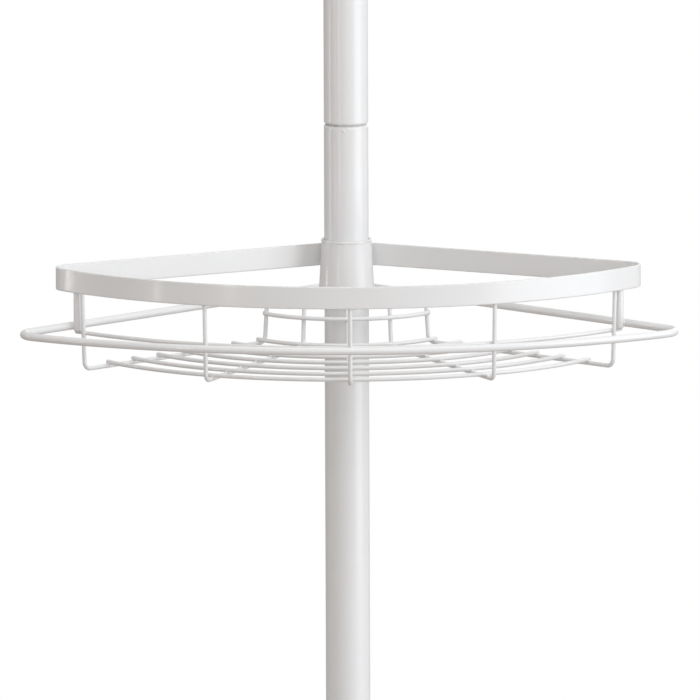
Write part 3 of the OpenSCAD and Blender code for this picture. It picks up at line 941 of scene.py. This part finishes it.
class CADDY_OT_feet(bpy.types.Operator):
    """Make the foot and ceiling cups and their ribbed rubber pads"""

    bl_idname = "caddy.feet"
    bl_label = "Cups and pads"

    def cup(self, bore):
        """Outline of a cup on its wide face, with a raised ring at its mouth."""
        pole, feet, _, _ = sizes()
        wide, tall, pad = feet.cup_r / MM, feet.cup_h / MM, feet.pad_t / MM
        neck = pole.tube_r / MM + 4
        floor = pad + tall - feet.socket / MM
        tall += pad
        return [
            (0, pad, 0), (wide, pad, 0.9), (wide, pad + 6, 2.0), (neck + 3, pad + 9.5, 5.0),
            (neck - 0.2, pad + 16, 3.0), (neck - 1, tall - 5.2, 0.15), (neck - 1.5, tall - 4.9, 0.2),
            (neck - 1.5, tall - 4.3, 0.2), (neck - 1, tall - 4.0, 0.4), (neck - 1, tall, 0.9),
            (bore, tall, 0.25), (bore, floor, 0.4), (0, floor, 0),
        ]

    def pad(self):
        """Outline of a pad with treads under it and a gripping lip."""
        feet = sizes()[1]
        outer, wide = feet.pad_r / MM, feet.cup_r / MM
        thick, tall = feet.pad_t / MM, feet.pad_h / MM
        profile = [(0, 1.2, 0), (5, 1.2, 0.3)]
        for inner_edge in (5.0, 12.0, 19.0):
            profile += [
                (inner_edge + 0.01, 0, 0.3), (inner_edge + 5, 0, 0.3),
                (inner_edge + 5.01, 1.2, 0.3), (inner_edge + 7, 1.2, 0.3),
            ]
        profile += [
            (26.01, 0, 0.3), (outer, 0, 1.4), (outer, 3.4, 0.2), (outer - 0.5, 3.7, 0.2),
            (outer - 0.5, 4.3, 0.2), (outer, 4.6, 0.2), (outer, tall, 0.6), (wide, tall, 0.3),
            (wide, thick, 0), (0, thick, 0),
        ]
        return profile

    def execute(self, context):
        pole = sizes()[0]
        top = high("ceiling_pad").z
        fixed = (
            ("floor_cup", "foot", "white_plastic", "foot_cup", self.cup(pole.tube_r / MM + 0.3)),
            ("floor_pad", "foot", "grip_rubber", "foot_pad", self.pad()),
            (
                "top_cup", "plunger", "white_plastic", "ceiling_cup",
                self.cup(pole.sprung_r / MM + 0.05),
            ),
            ("top_pad", "plunger", "grip_rubber", "ceiling_pad", self.pad()),
        )
        for name, body, slot, node, profile in fixed:
            bm = spun(profile)
            if body == "plunger":
                over = Matrix.Translation((0, 0, top)) @ Matrix.Rotation(pi, 4, "X")
                bmesh.ops.transform(bm, matrix=over, verts=bm.verts)
            keep(bm, name, body, slot, node)
        return {"FINISHED"}


class CADDY_OT_collar(bpy.types.Operator):
    """Make the two halves of the wedge collar that grips the pole under the sleeve"""

    bl_idname = "caddy.collar"
    bl_label = "Wedge collar"

    def execute(self, context):
        pole, _, shelf, _ = sizes()
        layout = ShelfLayout()
        inner = pole.tube_r / MM + RUN_GAP / MM
        foot, top = layout.sleeve_foot / MM, high("collar_front").z / MM
        thin = inner + WEDGE_THIN / MM
        thick = thin + TAPER * (top - foot - 0.5)
        lip = (layout.sleeve_r(layout.sleeve_foot) - shelf.wall / 2) / MM
        under = low("collar_front").z / MM
        profile = [
            (inner, under, 0.2), (lip, under, 0.7), (lip, foot - 0.3, 0.3), (thick, foot - 0.3, 0),
            (thick, foot + 0.5, 0), (thin, top, 0.2), (inner, top, 0.2),
        ]
        split = asin(0.8 / inner)
        for name, node, start in (("wedge_back", "collar_back", 0), ("wedge_front", "collar_front", pi)):
            bm = new_shape()
            edges = outline(bm, profile)
            turn = Matrix.Rotation(start + split, 3, "Z")
            bmesh.ops.rotate(bm, verts=bm.verts, cent=(0, 0, 0), matrix=turn)
            end = run_bend(bm, edges, (0, 0, 0), UP, pi - 2 * split, ROUND_STEPS // 2)
            for loop in (edges, end):
                bmesh.ops.edgeloop_fill(bm, edges=loop)
            keep(bm, name, "collar", "white_plastic", node)
        return {"FINISHED"}


class CADDY_OT_rim(bpy.types.Operator):
    """Make the flat rim strip and the tapered sleeve that it wraps"""

    bl_idname = "caddy.rim"
    bl_label = "Rim and sleeve"

    def strip(self, layout):
        """The flat strip, one closed loop round the back of the sleeve."""
        shelf = layout.shelf
        half_t = shelf.strip_t / 2
        back_r = layout.sleeve_r(shelf.top_z - shelf.strip_h) - WELD_SINK / 2 + half_t
        start, moves = pie_loop(
            back_r, 0, shelf.rim_half, shelf.rim_corner, shelf.rim_bow - half_t,
            shelf.rim_front - half_t, layout.strip_mid,
        )
        bm = new_shape()
        place = Matrix.Translation(start) @ facing(Vector((1, 0, 0)))
        size = Matrix.Diagonal((shelf.strip_t, shelf.strip_h, 1, 1))
        bmesh.ops.create_grid(bm, x_segments=1, y_segments=1, size=0.5, matrix=place @ size)
        round_corners(bm, bm.verts[:], shelf.strip_edge)
        bmesh.ops.delete(bm, geom=bm.faces[:], context="FACES_ONLY")
        hold_flats(bm)
        follow(bm, bm.edges[:], moves)
        keep(bm, "rim_strip", "shelf", "wire_enamel", "rim_band")

    def sleeve(self, layout):
        """The tapered sleeve with its rolled bead."""
        foot, top = layout.sleeve_foot / MM, layout.sleeve_top / MM
        wall, bead_t = layout.shelf.wall / MM, layout.shelf.bead / MM
        foot_r = layout.sleeve_r(layout.sleeve_foot) / MM
        top_r = layout.sleeve_r(layout.sleeve_top) / MM
        over = (bead_t - wall) / 2
        under = top - bead_t
        profile = [
            (foot_r - wall, foot, 0.25), (foot_r, foot, 0.35), (top_r, under, 0.2),
            (top_r + over, under + 0.1, 0.3), (top_r + over, top, 0.6),
            (top_r - wall - over, top, 0.6), (top_r - wall - over, under + 0.1, 0.3),
            (top_r - wall, under, 0.2),
        ]
        keep(spun(profile), "sleeve", "shelf", "wire_enamel", "hub_sleeve")

    def execute(self, context):
        layout = ShelfLayout()
        self.strip(layout)
        self.sleeve(layout)
        return {"FINISHED"}


class CADDY_OT_rail(bpy.types.Operator):
    """Make the towel rail and the two posts that carry it"""

    bl_idname = "caddy.rail"
    bl_label = "Towel rail"

    def execute(self, context):
        shelf = sizes()[2]
        layout = ShelfLayout()
        half = pi / 4
        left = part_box("left_post")
        post = (left[0] + left[1]) / 2
        apex_y = post.y - post.x + (2 * shelf.rail_r - WELD_SINK) * sqrt(2)
        back_y = apex_y - shelf.rail_back / sin(half)
        start, moves = pie_loop(
            shelf.rail_back, back_y, half, shelf.rail_corner, shelf.rail_bow,
            shelf.rail_front, layout.rail_z,
        )
        bm = bmesh.new()
        ring = wire_ring(bm, start, Vector((1, 0, 0)), shelf.rail_r, RAIL_SIDES)
        follow(bm, ring, moves)
        keep(bm, "rail", "shelf", "wire_enamel", "towel_rail")

        for name, node in (("post_left", "left_post"), ("post_right", "right_post")):
            foot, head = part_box(node)
            at = Vector(((foot.x + head.x) / 2, (foot.y + head.y) / 2, foot.z))
            bm = bmesh.new()
            ring = wire_ring(bm, at, UP, shelf.rail_r, RAIL_SIDES)
            end = run_straight(bm, ring, UP * (head.z - foot.z))
            for loop in (ring, end):
                round_end(bm, loop, shelf.rail_r * 0.35)
            keep(bm, name, "shelf", "wire_enamel", node)
        return {"FINISHED"}


class CADDY_OT_wires(bpy.types.Operator):
    """Make the long wires, the bowed floor wires, the hoop and the rear tie"""

    bl_idname = "caddy.wires"
    bl_label = "Basket wires"

    def bowed(self, name, node, radius, centre_y, z, half):
        """One bowed wire with rounded ends."""
        wire_r = sizes()[2].wire_r
        start = Vector((-radius * sin(half), centre_y - radius * cos(half), z))
        bm = bmesh.new()
        ring = wire_ring(bm, start, Vector((cos(half), -sin(half), 0)), wire_r)
        steps = max(24, round(2 * half * radius / WIRE_STEP))
        end = run_bend(bm, ring, (0, centre_y, 0), UP, 2 * half, steps)
        for loop in (ring, end):
            round_end(bm, loop, wire_r * 0.6)
        keep(bm, name, "shelf", "wire_enamel", node)

    def execute(self, context):
        shelf = sizes()[2]
        layout = ShelfLayout()
        for i in range(len(layout.leg_x)):
            points = layout.wire_points(i)
            bm = bmesh.new()
            heading = points[1] - points[0]
            ring = wire_ring(bm, points[0], heading.normalized(), shelf.wire_r)
            end = follow(bm, ring, bent_wire_moves(points, shelf.bend_r))
            for loop in (ring, end):
                round_end(bm, loop, shelf.wire_r * 0.6)
            keep(bm, f"long_wire_{i + 1}", "shelf", "wire_enamel", f"radial_wire_{i + 1}")

        for k in range(shelf.bow_count):
            radius, centre_y = layout.bow(k)
            at = layout.crossing(4, radius, centre_y)
            half = atan2(at.x, centre_y - at.y) + shelf.bow_over / radius
            names = f"floor_bow_{k + 1}", f"floor_arc_{k + 1}"
            self.bowed(*names, radius, centre_y, layout.bow_z, half)

        half = asin((layout.post_x + HOOP_OVER) / layout.hoop_r)
        self.bowed("leg_hoop", "mid_hoop", layout.hoop_r, layout.bow_y, layout.hoop_z, half)
        radius, centre_y = layout.rear_r, layout.rear_y
        self.bowed("rear_tie", "rear_arc", radius, centre_y, layout.rear_z, layout.rear_half)
        return {"FINISHED"}


def bead(bm, at, normal, across, upright, thick):
    """One flattened weld bead, thin along the normal of the faces that it joins."""
    place = Matrix.Translation(at) @ facing(normal)
    size = Matrix.Diagonal((across, upright, thick, 1))
    bmesh.ops.create_icosphere(bm, subdivisions=2, radius=1, matrix=place @ size)


def outward(at, centre_y=0.0):
    """Level direction from (0, centre_y) to a point."""
    return Vector((at.x, at.y - centre_y, 0)).normalized()


class CADDY_OT_welds(bpy.types.Operator):
    """Make the painted-over welds where wires, rim, posts, rail and sleeve meet"""

    bl_idname = "caddy.welds"
    bl_label = "Welds"

    def on_leg(self, bm, foot, top, z, centre_y, side):
        """The bead between a leaning leg and the bowed wire on its inner or outer side."""
        wire_r = sizes()[2].wire_r
        at = foot.lerp(top, (z - foot.z) / (top.z - foot.z))
        at.z = z
        out = outward(at, centre_y)
        bead(bm, at + side * wire_r * out, out, wire_r * 1.35, wire_r * 1.35, wire_r * 0.7)

    def on_wire(self, bm, layout, i):
        """The beads along long wire i, from the rim to the sleeve."""
        wire_r = layout.shelf.wire_r
        points = layout.wire_points(i)
        top, foot, back, high_point = points[:4]
        out = outward(top, layout.bow_y)
        at = Vector((top.x, top.y, layout.strip_mid - 0.5 * MM)) + out * (wire_r - 0.1 * MM)
        bead(bm, at, out, wire_r * 1.5, 4.6 * MM, wire_r * 0.75)
        self.on_leg(bm, foot, top, layout.hoop_z, layout.bow_y, -1)
        self.on_leg(bm, back, high_point, layout.rear_z, layout.rear_y, 1)
        end = points[-1]
        out = outward(end)
        if layout.rear_x[i]:
            at = out * (layout.sleeve_r(end.z) + 0.2 * MM) + UP * end.z
            bead(bm, at, out, wire_r * 1.5, wire_r * 1.5, wire_r * 0.9)
        else:
            at = out * layout.sleeve_r(end.z) + UP * (end.z - 0.4 * MM)
            bead(bm, at, out, wire_r * 1.5, 2.6 * MM, wire_r * 0.8)
        for k in range(layout.shelf.bow_count):
            at = layout.crossing(i, *layout.bow(k))
            at.z = (layout.floor_z + layout.bow_z) / 2
            bead(bm, at, UP, wire_r * 1.38, wire_r * 1.38, wire_r * 0.72)

    def on_post(self, bm, layout, node):
        """The beads that hold a post to the rim, the rail and the hoop."""
        rail_r = layout.shelf.rail_r
        foot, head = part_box(node)
        at = (foot + head) / 2
        out = outward(at, layout.bow_y)
        spot = at + out * (rail_r - 0.1 * MM)
        spot.z = layout.strip_mid - 0.6 * MM
        bead(bm, spot, out, rail_r * 1.15, 5.0 * MM, rail_r * 0.5)
        side = Vector((1 if at.x > 0 else -1, 1, 0)).normalized()
        spot = at + side * (rail_r - 0.1 * MM)
        spot.z = layout.rail_z
        bead(bm, spot, side, rail_r * 1.05, rail_r * 1.05, rail_r * 0.6)
        spot = Vector((at.x, at.y, foot.z + 0.1 * MM)) - out * rail_r * 0.4
        bead(bm, spot, UP, rail_r, rail_r * 0.9, layout.shelf.wire_r * 0.6)

    def on_sleeve(self, bm, layout, side):
        """The bead where one side of the rim strip leaves the sleeve."""
        angle = layout.shelf.rim_half
        out = Vector((side * cos(angle), sin(angle), 0))
        spot = out * (layout.sleeve_r(layout.strip_mid) + 0.1 * MM)
        spot.z = layout.strip_mid
        bead(bm, spot, out, 1.6 * MM, 5.4 * MM, 0.9 * MM)

    def execute(self, context):
        layout = ShelfLayout()
        bm = bmesh.new()
        for i in range(len(layout.leg_x)):
            self.on_wire(bm, layout, i)
        for node in ("left_post", "right_post"):
            self.on_post(bm, layout, node)
        for side in (-1, 1):
            self.on_sleeve(bm, layout, side)
        keep(bm, "weld_beads", "shelf", "wire_enamel")
        return {"FINISHED"}


class CADDY_OT_hidden_parts(bpy.types.Operator):
    """Make the spring inside the upper tube, and give the plugs and the seat their finishes"""

    bl_idname = "caddy.hidden_parts"
    bl_label = "Hidden parts"

    def spring(self):
        """A closed coil of round wire, in the CAD spring's place."""
        foot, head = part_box("tension_spring")
        coil_r = head.x - SPRING_WIRE_R
        rise = head.z - foot.z - 2 * SPRING_WIRE_R
        steps = SPRING_TURNS * ROUND_STEPS // 3
        bm = bmesh.new()
        at = Vector((coil_r, 0, foot.z + SPRING_WIRE_R))
        heading = Vector((0, 2 * pi * SPRING_TURNS * coil_r, rise)).normalized()
        ring = wire_ring(bm, at, heading, SPRING_WIRE_R, SPRING_SIDES)
        made = bmesh.ops.spin(
            bm,
            geom=bm.verts[:] + ring,
            cent=(0, 0, 0),
            axis=UP,
            dvec=UP * rise / steps,
            angle=2 * pi * SPRING_TURNS,
            steps=steps,
            use_merge=False,
        )
        for loop in (ring, edges_of(made["geom_last"])):
            bmesh.ops.edgeloop_fill(bm, edges=loop)
        piece = keep(bm, "push_spring", "pole", "bright_steel", "tension_spring")
        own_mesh(piece)

    def execute(self, context):
        self.spring()
        slots = {s["node"]: s["material_slot"] for s in frame["record"]["subparts"]}
        for node, cad in frame["nodes"].items():
            if cad.hide_render:
                continue
            cad.data.materials.clear()
            cad.data.materials.append(finish_of(slots[node]))
        return {"FINISHED"}


# ---- Stage ----

FLOOR_R = 2.3
VIEW_WIDTH = 0.4011
CAMERA_AWAY = 16.0
CAMERA_TURN = radians(-0.7)
CAMERA_RISE = radians(8.6)
CAMERA_ROLL = -0.0037
AIM = Vector((0.0018, 0, 0.6284))
LIT_SPOT = Vector((0, -0.03, 0.66))

# Narrow lights round the pole: turn in degrees, width, height of the middle, power
STRIP_AWAY = 2.4
STRIP_H = 1.4
STRIPS = ((-94, 0.06, 0.99, 7), (-60, 0.05, 0.99, 3.5), (-36, 0.07, 1.07, 6))


class CADDY_OT_stage(bpy.types.Operator):
    """Make the pale floor, the soft studio lights and the camera"""

    bl_idname = "caddy.stage"
    bl_label = "Stage"

    def floor(self):
        """A pale round floor with faint patches, darker and warmer to the light it bounces than to the
        camera.
        """
        bm = bmesh.new()
        bmesh.ops.create_circle(bm, cap_ends=True, segments=128, radius=FLOOR_R)
        mesh = bpy.data.meshes.new("stage_floor")
        bm.to_mesh(mesh)
        bm.free()
        material, tree, shader = start_material("Stage floor")
        patches = spread(tree, noise(tree, 3.0, 4.0, 0.6), 0.3, 0.7)
        tone = blend_colour(tree, patches, (0.84, 0.84, 0.845, 1), (0.87, 0.87, 0.87, 1))
        seen = add(tree, "ShaderNodeLightPath").outputs["Is Camera Ray"]
        tone = blend_colour(tree, seen, (0.42, 0.385, 0.36, 1), tone)
        tree.links.new(tone, shader.inputs["Base Color"])
        shader.inputs["Roughness"].default_value = 0.7
        raise_surface(tree, shader, noise(tree, 900.0, 3.0), 0.05 * MM)
        mesh.materials.append(material)
        piece = bpy.data.objects.new("stage_floor", mesh)
        bpy.context.scene.collection.objects.link(piece)

    def light(self, name, at, aim, width, height, power, tint=(1, 1, 1), glint=False):
        """One soft light that the camera doesn't see. A glint shows in gloss alone."""
        data = bpy.data.lights.new(name, "AREA")
        data.shape = "RECTANGLE"
        data.size, data.size_y = width, height
        data.energy = power
        data.color = tint
        lamp = bpy.data.objects.new(name, data)
        lamp.location = at
        lamp.rotation_mode = "QUATERNION"
        lamp.rotation_quaternion = (Vector(aim) - Vector(at)).to_track_quat("-Z", "Y")
        lamp.visible_camera = False
        lamp.visible_diffuse = not glint
        bpy.context.scene.collection.objects.link(lamp)

    def world(self):
        """White behind the object, and a dimmer grey for its light."""
        world = bpy.data.worlds.new("Studio")
        world.use_nodes = True
        tree = world.node_tree
        tree.nodes.clear()
        seen = add(tree, "ShaderNodeBackground", {0: (1, 1, 1, 1), 1: 1.0})
        where = add(tree, "ShaderNodeTexCoord").outputs["Generated"]
        rise = add(tree, "ShaderNodeSeparateXYZ", {0: where}).outputs[2]
        height = spread(tree, rise, -0.6, 0.8)
        tone = blend_colour(tree, height, (0.39, 0.365, 0.34, 1), (0.62, 0.604, 0.592, 1))
        lit = add(tree, "ShaderNodeBackground", {0: tone, 1: 1.0})
        path = add(tree, "ShaderNodeLightPath")
        links = {0: path.outputs["Is Camera Ray"], 1: lit.outputs[0], 2: seen.outputs[0]}
        mix = add(tree, "ShaderNodeMixShader", links)
        end = tree.nodes.new("ShaderNodeOutputWorld")
        tree.links.new(mix.outputs[0], end.inputs[0])
        bpy.context.scene.world = world

    def camera(self):
        """A long lens in front of the shelf, a little above it."""
        data = bpy.data.cameras.new("Studio camera")
        data.sensor_width = 36
        data.lens = data.sensor_width * CAMERA_AWAY / VIEW_WIDTH
        data.clip_start, data.clip_end = 0.1, 100
        camera = bpy.data.objects.new("Studio camera", data)
        flat = cos(CAMERA_RISE)
        back = Vector((sin(CAMERA_TURN) * flat, -cos(CAMERA_TURN) * flat, sin(CAMERA_RISE)))
        camera.location = AIM + back * CAMERA_AWAY
        camera.rotation_mode = "QUATERNION"
        roll = Quaternion((0, 0, 1), CAMERA_ROLL)
        camera.rotation_quaternion = (-back).to_track_quat("-Z", "Y") @ roll
        bpy.context.scene.collection.objects.link(camera)
        bpy.context.scene.camera = camera

    def execute(self, context):
        self.floor()
        self.world()
        self.camera()
        self.light("key", (2.1, -1.0, 1.25), LIT_SPOT, 1.9, 2.4, 36.5, (0.905, 0.955, 1))
        self.light("fill", (-0.1, -2.2, 1.45), LIT_SPOT, 1.4, 1.4, 8.5, (1, 0.985, 0.97))
        for turn, width, z, power in STRIPS:
            at = Matrix.Rotation(radians(turn), 3, "Z") @ Vector((0, -STRIP_AWAY, z))
            self.light(f"strip_{-turn}", at, UP * z, width, STRIP_H, power, (1, 0.98, 0.97), True)
        self.light("top", (0.1, -0.1, 2.5), (0, 0, 0), 1.2, 1.2, 7)
        self.light("rear", (0.9, 1.9, 1.3), LIT_SPOT, 1.4, 1.4, 5)
        scene = bpy.context.scene
        scene.view_settings.view_transform = "Standard"
        scene.view_settings.look = "None"
        return {"FINISHED"}


PIECE_OPERATORS = (
    CADDY_OT_pole,
    CADDY_OT_sprung_top,
    CADDY_OT_feet,
    CADDY_OT_collar,
    CADDY_OT_rim,
    CADDY_OT_rail,
    CADDY_OT_wires,
    CADDY_OT_welds,
    CADDY_OT_hidden_parts,
    CADDY_OT_stage,
)
SIZE_GROUPS = {
    "caddy_pole": CaddyPoleSizes,
    "caddy_feet": CaddyFootSizes,
    "caddy_shelf": CaddyShelfSizes,
    "caddy_finish": CaddyFinishes,
}


class CADDY_PT_sidebar(bpy.types.Panel):
    """Sizes, finishes and pieces of the corner shower caddy"""

    bl_idname = "CADDY_PT_sidebar"
    bl_label = "Corner shower caddy"
    bl_space_type = "VIEW_3D"
    bl_region_type = "UI"
    bl_category = "Caddy"

    def draw(self, context):
        for name, group in SIZE_GROUPS.items():
            box = self.layout.box()
            for setting in group.__annotations__:
                box.prop(getattr(context.scene, name), setting)
        for operator in PIECE_OPERATORS:
            self.layout.operator(operator.bl_idname)


CLASSES = (*SIZE_GROUPS.values(), *PIECE_OPERATORS, CADDY_PT_sidebar)


def register():
    """Registers the classes and hangs the sizes on the scene."""
    for item in CLASSES:
        bpy.utils.register_class(item)
    for name, group in SIZE_GROUPS.items():
        setattr(bpy.types.Scene, name, PointerProperty(type=group))


def unregister():
    """Takes the sizes off the scene and unregisters the classes."""
    for name in SIZE_GROUPS:
        delattr(bpy.types.Scene, name)
    for item in reversed(CLASSES):
        bpy.utils.unregister_class(item)


def main():
    """Builds every piece and the stage."""
    register()
    bpy.ops.caddy.pole()
    bpy.ops.caddy.sprung_top()
    bpy.ops.caddy.feet()
    bpy.ops.caddy.collar()
    bpy.ops.caddy.rim()
    bpy.ops.caddy.rail()
    bpy.ops.caddy.wires()
    bpy.ops.caddy.welds()
    bpy.ops.caddy.hidden_parts()
    bpy.ops.caddy.stage()


if __name__ == "__main__":
    main()
